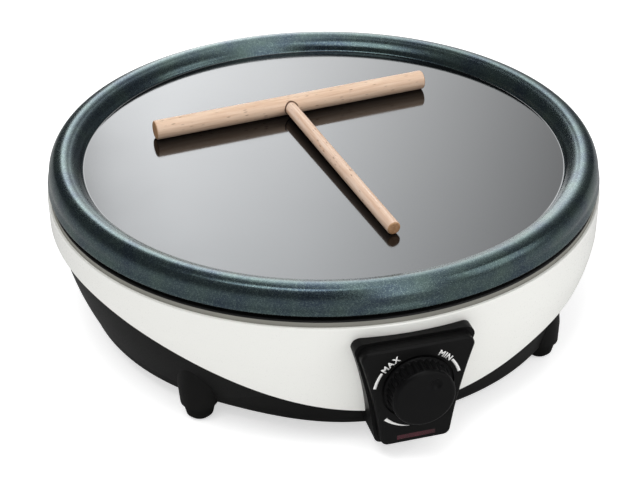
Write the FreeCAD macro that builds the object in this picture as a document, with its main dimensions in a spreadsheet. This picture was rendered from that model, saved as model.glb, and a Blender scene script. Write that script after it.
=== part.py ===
import FreeCAD, Part
import math
import os

import Sketcher

# Electric crepe maker: a round flat griddle plate with a raised rim on a white band and a black
# bowl with four feet, a control box with a rotary thermostat on the front, and a wooden T spreader.
# Millimetres, +Z up, origin on the table under the centre of the plate, control box towards -Y.

doc = FreeCAD.newDocument("crepe_maker")
sheet = doc.addObject("Spreadsheet::Sheet", "Sizes")

DRIVING_SIZES = {
    "surface_height": 98.0,
    "surface_radius": 145.0,
    "plate_thickness": 5.0,
    "crest_radius": 157.4,
    "crest_rise": 8.8,
    "rim_radius": 166.2,
    "rim_wall": 3.2,
    "lip_drop": 6.6,
    "tube_ring_radius": 96.0,
    "tube_radius": 3.6,
    "band_radius": 167.0,
    "band_wall": 2.4,
    "band_top": 88.2,
    "band_bend": 62.0,
    "band_front_edge": 20.4,
    "band_side_edge": 68.6,
    "bowl_radius": 163.4,
    "bowl_wall": 2.6,
    "bowl_top": 86.0,
    "bowl_shoulder": 69.0,
    "bowl_low_radius": 147.5,
    "bowl_low": 14.0,
    "bowl_floor": 13.0,
    "bowl_curve": 165.0,
    "foot_circle": 147.0,
    "foot_height": 9.2,
    "foot_radius": 9.4,
    "pillar_circle": 122.0,
    "pillar_radius": 4.5,
    "screw_radius": 1.9,
    "inlet_height": 34.0,
    "inlet_mouth": 168.5,
    "inlet_neck_radius": 7.0,
    "inlet_bore": 3.6,
    "box_front": 177.5,
    "box_joint": 171.0,
    "box_top": 76.3,
    "box_bottom": 13.3,
    "box_top_half": 31.3,
    "box_bottom_half": 19.5,
    "box_side_curve": 340.0,
    "box_flange": 2.0,
    "box_wall": 2.4,
    "knob_height": 49.8,
    "knob_radius": 17.4,
    "knob_skirt": 18.9,
    "knob_length": 13.0,
    "shaft_radius": 3.0,
    "lens_height": 17.4,
    "lens_length": 22.0,
    "spreader_length": 182.0,
    "spreader_radius": 6.0,
    "handle_length": 160.0,
    "handle_radius": 4.0,
}

for row, (alias, size) in enumerate(DRIVING_SIZES.items(), start=1):
    sheet.set("A%d" % row, alias)
    sheet.set("B%d" % row, repr(size))
    sheet.setAlias("B%d" % row, alias)
doc.recompute()

FRONT = FreeCAD.Rotation(FreeCAD.Vector(1, 0, 0), 90)
SPREADER_TURN = 6.3
SPREADER_CENTRE = (-4.1, 56.2)
DIAGONAL = " * 0.70710678"
FOOT_ANGLES = (45, 135, 225, 315)
solids = []


def value(expression):
    """Give the number that an expression over the sheet's cells has now."""
    return float(sheet.evalExpression(expression.replace("Sizes.", "")))


def cell(alias):
    """Give one driving size as a number."""
    return float(sheet.get(alias))


def new_body(label):
    """Start a body whose label is also the name of its file."""
    body = doc.addObject("PartDesign::Body", label)
    body.Label = label
    solids.append(body)
    return body


def new_sketch(body, role, lift=None):
    """Attach a sketch to one of the body's own origin planes, lifted off it by an expression."""
    plane = [item for item in body.Origin.OriginFeatures if item.Role == role][0]
    sketch = body.newObject("Sketcher::SketchObject", body.Name + "_sketch")
    sketch.AttachmentSupport = [(plane, "")]
    sketch.MapMode = "FlatFace"
    if lift is not None:
        sketch.AttachmentOffset = FreeCAD.Placement(FreeCAD.Vector(0, 0, value(lift)), FreeCAD.Rotation())
        sketch.setExpression("AttachmentOffset.Base.z", lift)
    return sketch


def pin_point(sketch, geometry, end, across, up):
    """Fix one end of a sketch line or arc at two expressions of the sheet."""
    for kind, axis, expression in (("DistanceX", -2, across), ("DistanceY", -1, up)):
        number = value(expression)
        if abs(number) < 1e-9:
            sketch.addConstraint(Sketcher.Constraint("PointOnObject", geometry, end, axis))
            continue
        index = sketch.addConstraint(Sketcher.Constraint(kind, -1, 1, geometry, end, number))
        sketch.setExpression("Constraints[%d]" % index, expression)


def arc_between(start, end, radius, side):
    """Make the short arc from start to end; side +1 bulges to the right of the way from start to end."""
    chord = end - start
    middle = (start + end) * 0.5
    normal = FreeCAD.Vector(chord.y, -chord.x, 0).normalize()
    half = chord.Length / 2
    centre = middle - normal * (side * math.sqrt(radius ** 2 - half ** 2))
    crown = centre + normal * (side * radius)
    if side > 0:
        return Part.Arc(start, crown, end)
    return Part.Arc(end, crown, start)


def outline(sketch, corners):
    """Close an outline through corners; a corner is (across, up) or (across, up, radius, side)."""
    points = [FreeCAD.Vector(value(corner[0]), value(corner[1]), 0) for corner in corners]
    first = sketch.GeometryCount
    count = len(corners)
    for index, corner in enumerate(corners):
        start = points[index]
        end = points[(index + 1) % count]
        if len(corner) == 2:
            sketch.addGeometry(Part.LineSegment(start, end), False)
            continue
        sketch.addGeometry(arc_between(start, end, value(corner[2]), corner[3]), False)
    for index, corner in enumerate(corners):
        following = (index + 1) % count
        curve = sketch.Geometry[first + index]
        here_end = end_near(curve, points[following])
        next_start = end_near(sketch.Geometry[first + following], points[following])
        sketch.addConstraint(
            Sketcher.Constraint("Coincident", first + index, here_end, first + following, next_start))
        pin_point(sketch, first + index, 3 - here_end, corner[0], corner[1])
        if len(corner) == 4:
            radius = sketch.addConstraint(Sketcher.Constraint("Radius", first + index, value(corner[2])))
            sketch.setExpression("Constraints[%d]" % radius, corner[2])


def end_near(curve, point):
    """Tell which end of a sketch curve, 1 or 2, lies at a point."""
    if (curve.StartPoint - point).Length < (curve.EndPoint - point).Length:
        return 1
    return 2


def circle(sketch, across, up, radius):
    """Draw a circle whose centre and radius follow the sheet."""
    centre = FreeCAD.Vector(value(across), value(up), 0)
    index = sketch.addGeometry(Part.Circle(centre, FreeCAD.Vector(0, 0, 1), value(radius)), False)
    pin_point(sketch, index, 3, across, up)
    constraint = sketch.addConstraint(Sketcher.Constraint("Radius", index, value(radius)))
    sketch.setExpression("Constraints[%d]" % constraint, radius)


def revolve(body, corners, kind="PartDesign::Revolution"):
    """Turn an outline of radius and height about the vertical axis, to add or to cut."""
    sketch = new_sketch(body, "XZ_Plane")
    outline(sketch, corners)
    feature = body.newObject(kind, body.Name + "_turned")
    feature.Profile = sketch
    feature.ReferenceAxis = (sketch, ["V_Axis"])
    feature.Angle = 360
    return feature


def pad(body, sketch, length, kind="PartDesign::Pad", reverse=False, both=False):
    """Extrude a sketch, or cut with it, by an expression of the sheet."""
    feature = body.newObject(kind, body.Name + "_" + kind.split("::")[1].lower())
    feature.Profile = sketch
    feature.Length = value(length)
    feature.setExpression("Length", length)
    feature.Reversed = reverse
    feature.Midplane = both
    return feature


def ring_pattern(body, features, count):
    """Repeat features round the vertical axis."""
    pattern = body.newObject("PartDesign::PolarPattern", body.Name + "_ring")
    pattern.Originals = features
    axis = [item for item in body.Origin.OriginFeatures if item.Role == "Z_Axis"][0]
    pattern.Axis = (axis, [""])
    pattern.Angle = 360
    pattern.Occurrences = count
    body.Tip = pattern
    return pattern


def shape_node(label, shape, placement=None):
    """Keep a shape that is worked out with sheet sizes as a node of its own."""
    node = doc.addObject("Part::Feature", label)
    node.Label = label
    node.Shape = shape
    if placement is not None:
        node.Placement = placement
    solids.append(node)
    return node


def primitive(kind, name, place, turn=FreeCAD.Rotation(), **sizes):
    """Make a Part primitive with its sizes and its corner or centre bound to expressions."""
    item = doc.addObject("Part::" + kind, name)
    for key, expression in sizes.items():
        setattr(item, key, value(expression))
        item.setExpression(key, expression)
    item.Placement = FreeCAD.Placement(FreeCAD.Vector(*[value(term) for term in place]), turn)
    for letter, expression in zip("xyz", place):
        item.setExpression("Placement.Base." + letter, expression)
    return item


def node_of(item, label):
    """Name a finished object as a node."""
    item.Label = label
    solids.append(item)
    return item


def fused(label, items):
    """Join overlapping items into one named solid."""
    joined = doc.addObject("Part::MultiFuse", label)
    joined.Shapes = items
    joined.Refine = True
    return node_of(joined, label)


def cut(base, tool, name):
    """Cut one item with another."""
    result = doc.addObject("Part::Cut", name)
    result.Base = base
    result.Tool = tool
    return result


# Cooking plate: a cast disc whose edge turns up into a rounded rim with a skirt over the band


def build_plate():
    body = new_body("cooking_plate")
    top = "Sizes.surface_height"
    under = "Sizes.surface_height - Sizes.plate_thickness"
    revolve(body, [
        ("0", top),
        ("Sizes.surface_radius", top, "17", -1),
        ("Sizes.crest_radius - 4.5", top + " + Sizes.crest_rise - 1.2", "9.5", -1),
        ("Sizes.crest_radius + 4.2", top + " + Sizes.crest_rise - 1.4", "10.5", -1),
        ("Sizes.rim_radius - 1.2", top + " - 1.4"),
        ("Sizes.rim_radius", top + " - Sizes.lip_drop"),
        ("Sizes.rim_radius - Sizes.rim_wall", top + " - Sizes.lip_drop"),
        ("Sizes.rim_radius - Sizes.rim_wall - 1.4", top + " - 0.8", "7.5", 1),
        ("Sizes.crest_radius - 0.6", top + " + Sizes.crest_rise - 3.9", "14", 1),
        ("Sizes.surface_radius + 1.2", under),
        ("Sizes.tube_ring_radius + Sizes.tube_radius + 4", under),
        ("Sizes.tube_ring_radius + Sizes.tube_radius + 2.5", under + " - 3"),
        ("Sizes.tube_ring_radius + Sizes.tube_radius + 0.1", under + " - 3", "Sizes.tube_radius + 0.3", 1),
        ("Sizes.tube_ring_radius - Sizes.tube_radius - 0.1", under + " - 3"),
        ("Sizes.tube_ring_radius - Sizes.tube_radius - 2.5", under + " - 3"),
        ("Sizes.tube_ring_radius - Sizes.tube_radius - 4", under),
        ("0", under),
    ])
    boss_sketch = new_sketch(body, "XY_Plane", under)
    circle(boss_sketch, "Sizes.pillar_circle" + DIAGONAL, "Sizes.pillar_circle" + DIAGONAL, "7")
    boss = pad(body, boss_sketch, "5", reverse=True)
    ring_pattern(body, [boss], 4)
    mouth = new_sketch(body, "XY_Plane", under + " - 6")
    outline(mouth, [
        ("-27", "-Sizes.tube_ring_radius - 14"),
        ("27", "-Sizes.tube_ring_radius - 14"),
        ("27", "-Sizes.tube_ring_radius + 20"),
        ("-27", "-Sizes.tube_ring_radius + 20"),
    ])
    pad(body, mouth, "6", "PartDesign::Pocket", reverse=True)


# Heating element: one turn of tube in the plate's groove, both ends led towards the front


def tube_path():
    height = cell("surface_height") - cell("plate_thickness") - 4.25
    radius = cell("tube_ring_radius")
    gap = math.radians(14)
    bend = 12.0
    start = FreeCAD.Vector(radius * math.sin(gap), -radius * math.cos(gap), height)
    end = FreeCAD.Vector(-start.x, start.y, height)
    back = FreeCAD.Vector(0, radius, height)
    turn = Part.Arc(start, back, end).toShape()
    tails = []
    for side, point in ((1, start), (-1, end)):
        inward = FreeCAD.Vector(-side * math.cos(gap), -math.sin(gap), 0)
        normal = FreeCAD.Vector(side * math.sin(gap), -math.cos(gap), 0)
        centre = point - normal * bend
        leave = FreeCAD.Vector(-side, 0, 0)
        finish = centre + FreeCAD.Vector(-side * bend, 0, 0)
        middle = centre + (point - centre + finish - centre).normalize() * bend
        tails.append(Part.Arc(point, middle, finish).toShape())
        tails.append(Part.LineSegment(finish, finish + FreeCAD.Vector(0, 22, 0)).toShape())
    return turn, tails


def build_element():
    turn, tails = tube_path()
    wire = Part.Wire([tails[1], tails[0], turn, tails[2], tails[3]])
    first = tails[1].Vertexes[-1].Point
    section = Part.Wire(Part.Circle(first, FreeCAD.Vector(0, 1, 0), cell("tube_radius")).toShape())
    tube = wire.makePipeShell([section], True, False)
    bushes = []
    for tail in (tails[1], tails[3]):
        tip = tail.Vertexes[-1].Point
        bushes.append(Part.makeCylinder(3.0, 4.0, tip, FreeCAD.Vector(0, 1, 0)))
        bushes.append(Part.makeBox(0.8, 9.0, 6.3, tip + FreeCAD.Vector(-0.4, 4.0, -3.15)))
    shape = tube.fuse(bushes)
    shape_node("heating_element", shape)


# White band: a pressed ring whose lower edge rises in an arch on either side


def build_band():
    body = new_body("housing_band")
    radius = "Sizes.band_radius"
    inner = "Sizes.band_radius - Sizes.band_wall"
    revolve(body, [
        ("Sizes.rim_radius - 9", "Sizes.bowl_top"),
        (inner + " - 0.2", "Sizes.bowl_top"),
        (inner + " - 0.2", "Sizes.band_bend", "190", -1),
        ("Sizes.band_radius - 13.6", "14"),
        ("Sizes.band_radius - 11.2", "13", "190", 1),
        (radius, "Sizes.band_bend"),
        (radius, "Sizes.band_top - 3", "3", 1),
        (radius + " - 3", "Sizes.band_top"),
        ("Sizes.rim_radius - 9", "Sizes.band_top"),
    ])
    body.Tip.recompute()
    arch = new_sketch(body, "XZ_Plane")
    half = cell("band_radius") + 3
    points = []
    for step in range(-6, 7):
        across = half * step / 6
        points.append(FreeCAD.Vector(across, band_edge_height(across), 0))
    curve = Part.BSplineCurve()
    curve.interpolate(points)
    low = -5.0
    arch.addGeometry(curve, False)
    corners = [points[-1], FreeCAD.Vector(half, low, 0), FreeCAD.Vector(-half, low, 0), points[0]]
    for start, end in zip(corners, corners[1:]):
        arch.addGeometry(Part.LineSegment(start, end), False)
    pad(body, arch, "Sizes.band_radius * 2 + 10", "PartDesign::Pocket", both=True)
    window(body, "Sizes.band_radius + 5", "Sizes.band_radius - 30")
    inlet_hole(body, "Sizes.band_radius + 5")


def band_edge_height(across):
    """Height of the band's lower edge over the sideways distance: low at the front, high at the sides."""
    share = across / cell("band_radius")
    rise = cell("band_side_edge") - cell("band_front_edge")
    return cell("band_front_edge") + 1.7 * rise * share ** 2 - 0.7 * rise * share ** 4


def window(body, near, far):
    """Open a wall behind the control box for the thermostat shaft and the lamp."""
    sketch = new_sketch(body, "XZ_Plane", near)
    outline(sketch, [
        ("-12", "Sizes.knob_height - 12"),
        ("12", "Sizes.knob_height - 12"),
        ("12", "Sizes.knob_height + 10"),
        ("-12", "Sizes.knob_height + 10"),
    ])
    pad(body, sketch, near + " - (" + far + ")", "PartDesign::Pocket")


def inlet_hole(body, far):
    """Open a wall at the back for the neck of the cable inlet."""
    sketch = new_sketch(body, "XZ_Plane", "-(" + far + ")")
    circle(sketch, "0", "Sizes.inlet_height", "Sizes.inlet_neck_radius + 0.1")
    pad(body, sketch, "30", "PartDesign::Pocket", reverse=True)


# Support ring: the dark collar that carries the plate's rim on the band's top flange


def build_support_ring():
    body = new_body("support_ring")
    seat = "Sizes.band_top"
    wall = "Sizes.band_radius - 5.5"
    revolve(body, [
        (wall + " - 4", seat),
        (wall, seat),
        (wall, seat + " + 6.8"),
        (wall + " - 1.5", seat + " + 6.8"),
        (wall + " - 1.5", seat + " + 1.2"),
        (wall + " - 4", seat + " + 1.2"),
    ])


# Black bowl: the moulded lower shell with its floor, air slots, legs and pillar seats


def build_bowl():
    body = new_body("base_bowl")
    outer = "Sizes.bowl_radius"
    revolve(body, [
        ("0", "Sizes.bowl_floor"),
        ("Sizes.bowl_low_radius - 9", "Sizes.bowl_floor"),
        ("Sizes.bowl_low_radius - 6", "Sizes.bowl_floor - 3"),
        ("Sizes.bowl_low_radius - 3.5", "Sizes.bowl_floor - 3"),
        ("Sizes.bowl_low_radius", "Sizes.bowl_low", "Sizes.bowl_curve", 1),
        (outer, "Sizes.bowl_shoulder"),
        (outer, "Sizes.bowl_top"),
        (outer + " - 9", "Sizes.bowl_top"),
        (outer + " - 9", "Sizes.bowl_top - Sizes.bowl_wall"),
        (outer + " - Sizes.bowl_wall", "Sizes.bowl_top - Sizes.bowl_wall"),
        (outer + " - Sizes.bowl_wall", "Sizes.bowl_shoulder", "Sizes.bowl_curve - Sizes.bowl_wall", -1),
        ("Sizes.bowl_low_radius - Sizes.bowl_wall", "Sizes.bowl_low + 1.6"),
        ("0", "Sizes.bowl_low + 1.6"),
    ])
    foot = new_sketch(body, "XY_Plane", "Sizes.foot_height")
    circle(foot, "Sizes.foot_circle", "0", "Sizes.foot_radius + 0.2")
    root = new_sketch(body, "XY_Plane", "Sizes.bowl_low + 9")
    centre = FreeCAD.Vector(value("Sizes.foot_circle - 2.5"), 0, 0)
    major = centre + FreeCAD.Vector(0, 14, 0)
    minor = centre + FreeCAD.Vector(7.3, 0, 0)
    root.addGeometry(Part.Ellipse(major, minor, centre), False)
    leg = body.newObject("PartDesign::AdditiveLoft", "leg_loft")
    leg.Profile = foot
    leg.Sections = [root]
    ring_pattern(body, [leg], 4)
    first_leg_angle = FreeCAD.Rotation(FreeCAD.Vector(0, 0, 1), 45)
    for sketch in (foot, root):
        offset = sketch.AttachmentOffset
        sketch.AttachmentOffset = FreeCAD.Placement(offset.Base, first_leg_angle)
    slot = new_sketch(body, "XY_Plane", "Sizes.bowl_floor - 5")
    outline(slot, [
        ("62", "-2"),
        ("96", "-2", "2.2", 1),
        ("96", "2"),
        ("62", "2", "2.2", 1),
    ])
    slots = pad(body, slot, "20", "PartDesign::Pocket", reverse=True)
    ring_pattern(body, [slots], 16)
    for ring, radius, low, depth in (
            ("Sizes.foot_circle", "Sizes.screw_radius + 0.05", "Sizes.foot_height - 1", "9"),
            ("Sizes.pillar_circle", "Sizes.screw_radius + 0.2", "Sizes.bowl_floor - 2", "10")):
        holes = new_sketch(body, "XY_Plane", low)
        circle(holes, ring + DIAGONAL, ring + DIAGONAL, radius)
        drilled = pad(body, holes, depth, "PartDesign::Pocket", reverse=True)
        ring_pattern(body, [drilled], 4)
    window(body, "Sizes.bowl_radius + 5", "Sizes.bowl_radius - 20")
    inlet_hole(body, "Sizes.bowl_radius + 5")


# Feet: turned rubber caps under the legs, each with a screw recess


def build_feet():
    radius = cell("foot_radius")
    height = cell("foot_height")
    profile = Part.makePolygon([
        FreeCAD.Vector(2.0, 0, height),
        FreeCAD.Vector(2.0, 0, 4.0),
        FreeCAD.Vector(4.2, 0, 4.0),
        FreeCAD.Vector(4.2, 0, 0),
        FreeCAD.Vector(radius - 3.6, 0, 0),
        FreeCAD.Vector(radius - 1.7, 0, 1.9),
        FreeCAD.Vector(radius, 0, height),
        FreeCAD.Vector(2.0, 0, height),
    ])
    cap = Part.Face(profile).revolve(FreeCAD.Vector(0, 0, 0), FreeCAD.Vector(0, 0, 1), 360)
    seat = 4.0
    screws = []
    for number, angle in enumerate(FOOT_ANGLES, start=1):
        turn = math.radians(angle)
        place = FreeCAD.Vector(math.cos(turn), math.sin(turn), 0) * cell("foot_circle")
        shape_node("rubber_foot_%d" % number, cap, FreeCAD.Placement(place, FreeCAD.Rotation()))
        screws.append(screw(place, seat, 12.0, 3.8, 2.2))
    shape_node("foot_screws", Part.makeCompound(screws))


def screw(place, seat, length, head_radius, head_height):
    """Make an upright pan-head screw whose head hangs below its seat."""
    foot = FreeCAD.Vector(place.x, place.y, seat)
    shank = Part.makeCylinder(cell("screw_radius"), length, foot)
    head = Part.makeCylinder(head_radius, head_height, foot - FreeCAD.Vector(0, 0, head_height))
    rim = [edge for edge in head.Edges if edge.Closed and edge.BoundBox.ZMax < seat - head_height + 0.1]
    head = head.makeFillet(head_height * 0.4, rim)
    slot = Part.makeBox(head_radius * 1.3, 0.9, 0.8)
    slot.translate(foot - FreeCAD.Vector(head_radius * 0.65, 0.45, head_height))
    return head.cut(slot).fuse(shank)


# Pillars: steel spacers from the floor of the bowl to the bosses under the plate


def build_pillars():
    base = "Sizes.bowl_low + 1.6"
    length = "Sizes.surface_height - Sizes.plate_thickness - 5 - (" + base + ")"
    for number, angle in enumerate(FOOT_ANGLES, start=1):
        across = "Sizes.pillar_circle * %.8f" % math.cos(math.radians(angle))
        along = "Sizes.pillar_circle * %.8f" % math.sin(math.radians(angle))
        rod = primitive("Cylinder", "pillar_%d" % number, (across, along, base),
                        Radius="Sizes.pillar_radius", Height=length)
        tap = primitive("Cylinder", "tap_%d" % number, (across, along, base + " - 1"),
                        Radius="Sizes.screw_radius + 0.05", Height="15")
        node_of(cut(rod, tap, "tapped_%d" % number), "plate_pillar_%d" % number)
    screws = []
    for angle in FOOT_ANGLES:
        turn = math.radians(angle)
        place = FreeCAD.Vector(math.cos(turn), math.sin(turn), 0) * cell("pillar_circle")
        screws.append(screw(place, cell("bowl_floor"), 14.0, 4.2, 2.4))
    shape_node("pillar_screws", Part.makeCompound(screws))


# Heat shield: a pressed pan between the element and the bowl


def build_shield():
    body = new_body("heat_shield")
    floor = "Sizes.surface_height - 28"
    revolve(body, [
        ("0", floor),
        ("112", floor),
        ("116", floor + " + 4"),
        ("116", floor + " + 14"),
        ("115.2", floor + " + 14"),
        ("115.2", floor + " + 4.4"),
        ("111.6", floor + " + 0.8"),
        ("0", floor + " + 0.8"),
    ])


# Control box: a rear frame fitted to the curved band and a front cover with the dial


def box_corners(grow):
    top_half = "Sizes.box_top_half + %s" % grow
    low_half = "Sizes.box_bottom_half + %s" % grow
    top = "Sizes.box_top + %s" % grow
    low = "Sizes.box_bottom - %s" % grow
    return [
        ("-(%s - 4)" % low_half, low),
        ("%s - 4" % low_half, low, "4.2", 1),
        (low_half + " + 0.3", low + " + 4", "Sizes.box_side_curve", -1),
        (top_half, top + " - 5.5", "5.2", 1),
        ("%s - 5" % top_half, top),
        ("-(%s - 5)" % top_half, top, "5.2", 1),
        ("-(%s)" % top_half, top + " - 5.5", "Sizes.box_side_curve", -1),
        ("-(%s + 0.3)" % low_half, low + " + 4", "4.2", 1),
    ]


def build_box_frame():
    body = new_body("control_frame")
    outer = new_sketch(body, "XZ_Plane", "130")
    outline(outer, box_corners("Sizes.box_flange"))
    pad(body, outer, "Sizes.box_joint - 130")
    inner = new_sketch(body, "XZ_Plane", "120")
    outline(inner, box_corners("-Sizes.box_wall"))
    pad(body, inner, "80", "PartDesign::Pocket", reverse=True)
    gap = " + 0.15"
    revolve(body, [
        ("0", "0"),
        ("Sizes.bowl_low_radius - 5", "0"),
        ("Sizes.bowl_low_radius" + gap, "Sizes.bowl_low", "Sizes.bowl_curve", 1),
        ("Sizes.bowl_low_radius + 4.1", "Sizes.band_front_edge + 2"),
        ("Sizes.band_radius - 7.8", "Sizes.band_front_edge + 2", "190", 1),
        ("Sizes.band_radius" + gap, "Sizes.band_bend"),
        ("Sizes.band_radius" + gap, "Sizes.band_top + 10"),
        ("0", "Sizes.band_top + 10"),
    ], "PartDesign::Groove")
    solids.remove(body)
    body.Label = "frame_blank"
    node_of(cut(body, doc.getObject("housing_band"), "frame_fitted"), "control_frame")


def build_box_cover():
    body = new_body("control_cover")
    outer = new_sketch(body, "XZ_Plane", "Sizes.box_joint")
    outline(outer, box_corners("0"))
    slab = pad(body, outer, "Sizes.box_front - Sizes.box_joint")
    doc.recompute()
    front = -cell("box_front")
    names = []
    for index, edge in enumerate(slab.Shape.Edges, start=1):
        if abs(edge.BoundBox.YMin - front) < 0.01 and abs(edge.BoundBox.YMax - front) < 0.01:
            names.append("Edge%d" % index)
    soft = body.newObject("PartDesign::Fillet", "cover_edge")
    soft.Base = (slab, names)
    soft.Radius = 1.5
    inner = new_sketch(body, "XZ_Plane", "Sizes.box_joint")
    outline(inner, box_corners("-Sizes.box_wall"))
    pad(body, inner, "Sizes.box_front - Sizes.box_joint - 3.6", "PartDesign::Pocket", reverse=True)
    well = new_sketch(body, "XZ_Plane", "Sizes.box_front")
    circle(well, "0", "Sizes.knob_height", "Sizes.knob_skirt + 1.4")
    pad(body, well, "1.4", "PartDesign::Pocket")
    hole = new_sketch(body, "XZ_Plane", "Sizes.box_front")
    circle(hole, "0", "Sizes.knob_height", "4.4")
    outline(hole, [
        ("-Sizes.lens_length / 2", "Sizes.lens_height - 1.6"),
        ("Sizes.lens_length / 2", "Sizes.lens_height - 1.6"),
        ("Sizes.lens_length / 2", "Sizes.lens_height + 1.6"),
        ("-Sizes.lens_length / 2", "Sizes.lens_height + 1.6"),
    ])
    pad(body, hole, "12", "PartDesign::Pocket")
    tongues = new_sketch(body, "XZ_Plane", "Sizes.band_radius + 0.5")
    roof = "Sizes.box_top - Sizes.box_wall"
    for left, right in (("-22", "-12"), ("12", "22")):
        outline(tongues, [
            (left, roof + " - 1.4"),
            (right, roof + " - 1.4"),
            (right, roof + " - 0.1"),
            (left, roof + " - 0.1"),
        ])
    pad(body, tongues, "Sizes.box_front - Sizes.band_radius - 3.9")


def build_lens():
    corner = ("-(Sizes.lens_length - 0.2) / 2", "-Sizes.box_front + 0.2", "Sizes.lens_height - 1.5")
    lens = primitive("Box", "lens_block", corner, Length="Sizes.lens_length - 0.2", Width="3.4", Height="3")
    node_of(lens, "indicator_lens")
    start = ("-7", "-Sizes.box_front + 6.2", "Sizes.lens_height + 1.1")
    sideways = FreeCAD.Rotation(FreeCAD.Vector(0, 1, 0), 90)
    lamp = primitive("Cylinder", "lamp_tube", start, sideways, Radius="2.4", Height="14")
    node_of(lamp, "neon_lamp")
    floor = "Sizes.box_bottom + Sizes.box_wall"
    corner = ("-4", "-Sizes.box_front + 4.2", floor)
    block = primitive("Box", "saddle_block", corner, Length="8", Width="4", Height="1.8")
    bed = primitive("Cylinder", "saddle_bed", start, sideways, Radius="2.42", Height="14")
    node_of(cut(block, bed, "saddle_cut"), "lamp_saddle")


# Knob: a tapered grip with flutes and a finger dimple, on the thermostat's flatted shaft


def build_knob():
    body = new_body("control_knob")
    grip = "Sizes.knob_radius"
    length = "Sizes.knob_length"
    revolve(body, [
        ("Sizes.shaft_radius + 0.02", "0.4"),
        ("Sizes.knob_skirt", "0.4"),
        ("Sizes.knob_skirt", "1.8"),
        (grip + " + 0.3", length + " - 1.6", "1.6", 1),
        (grip + " - 1.2", length),
        ("0", length + " - 0.3"),
        ("0", "9"),
        ("Sizes.shaft_radius + 0.02", "9"),
    ])
    flute = new_sketch(body, "XY_Plane", "1.8")
    circle(flute, "Sizes.knob_skirt + 0.35", "0", "0.9")
    cutter = pad(body, flute, length + " - 4", "PartDesign::Pocket", reverse=True)
    ring_pattern(body, [cutter], 30)
    dimple = body.newObject("PartDesign::SubtractiveSphere", "dimple")
    dimple.Radius = 4.4
    angle = math.radians(90 - 35)
    reach = 10.2
    dimple.Placement = FreeCAD.Placement(
        FreeCAD.Vector(reach * math.cos(angle), reach * math.sin(angle), cell("knob_length") + 3.3),
        FreeCAD.Rotation())
    body.Placement = FreeCAD.Placement(
        FreeCAD.Vector(0, -(cell("box_front") - 1.4), cell("knob_height")), FRONT)


def build_shaft():
    start = 138.0
    seat = "Sizes.box_front - 1.4 - %s" % start
    shaft = primitive("Cylinder", "shaft_rod", ("0", "0", "0"), Radius="Sizes.shaft_radius", Height=seat + " + 8.5")
    flat = primitive("Box", "shaft_flat", ("-5", "1.6", seat + " + 0.5"), Length="10", Width="10", Height="10")
    shaped = cut(shaft, flat, "shaft_shaped")
    shaped.Placement = FreeCAD.Placement(FreeCAD.Vector(0, -start, cell("knob_height")), FRONT)
    node_of(shaped, "thermostat_shaft")


# Thermostat: hung from the plate by a bent bracket, its shaft lined up with the knob


def build_thermostat():
    corner = ("-17", "-134", "Sizes.knob_height - 17")
    block = primitive("Box", "thermostat_block", corner, Length="34", Width="14", Height="34")
    face = ("0", "-134", "Sizes.knob_height")
    neck = primitive("Cylinder", "thermostat_neck", face, FRONT, Radius="5", Height="8")
    inside = ("0", "-137.8", "Sizes.knob_height")
    bore = primitive("Cylinder", "thermostat_bore", inside, FRONT, Radius="Sizes.shaft_radius + 0.05", Height="5")
    joined = doc.addObject("Part::Fuse", "thermostat_solid")
    joined.Base = block
    joined.Tool = neck
    bored = cut(joined, bore, "thermostat_bored")
    under = "Sizes.surface_height - Sizes.plate_thickness"
    drop = primitive("Box", "bracket_drop", ("-15", "-120", "32"), Length="30", Width="1.5", Height=under + " - 32")
    foot = primitive("Box", "bracket_foot", ("-15", "-120", under + " - 1.5"), Length="30", Width="8.5", Height="1.5")
    bent = doc.addObject("Part::MultiFuse", "bracket_bent")
    bent.Shapes = [drop, foot]
    bent.Refine = True
    taps = doc.addObject("Part::MultiFuse", "thermostat_taps")
    ways = doc.addObject("Part::MultiFuse", "bracket_holes")
    screws = doc.addObject("Part::MultiFuse", "thermostat_screw_set")
    made = {"tap": [], "way": [], "screw": []}
    for number, across in enumerate(("-11", "11"), start=1):
        back = (across, "-118.5", "Sizes.knob_height")
        shank = primitive("Cylinder", "switch_shank_%d" % number, back, FRONT, Radius="1.5", Height="7.5")
        head = primitive("Cylinder", "switch_head_%d" % number, (across, "-116.7", "Sizes.knob_height"), FRONT,
                         Radius="2.8", Height="1.8")
        made["screw"] += [shank, head]
        made["tap"].append(primitive("Cylinder", "switch_tap_%d" % number, back, FRONT, Radius="1.52", Height="8"))
        made["way"].append(primitive("Cylinder", "switch_way_%d" % number, (across, "-117", "Sizes.knob_height"),
                                     FRONT, Radius="1.6", Height="5"))
    taps.Shapes = made["tap"]
    ways.Shapes = made["way"]
    screws.Shapes = made["screw"]
    node_of(cut(bored, taps, "thermostat_cut"), "thermostat_body")
    node_of(cut(bent, ways, "bracket_cut"), "thermostat_bracket")
    node_of(screws, "thermostat_screws")


# Thermal fuse under the plate and terminal block on the floor of the bowl


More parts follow.
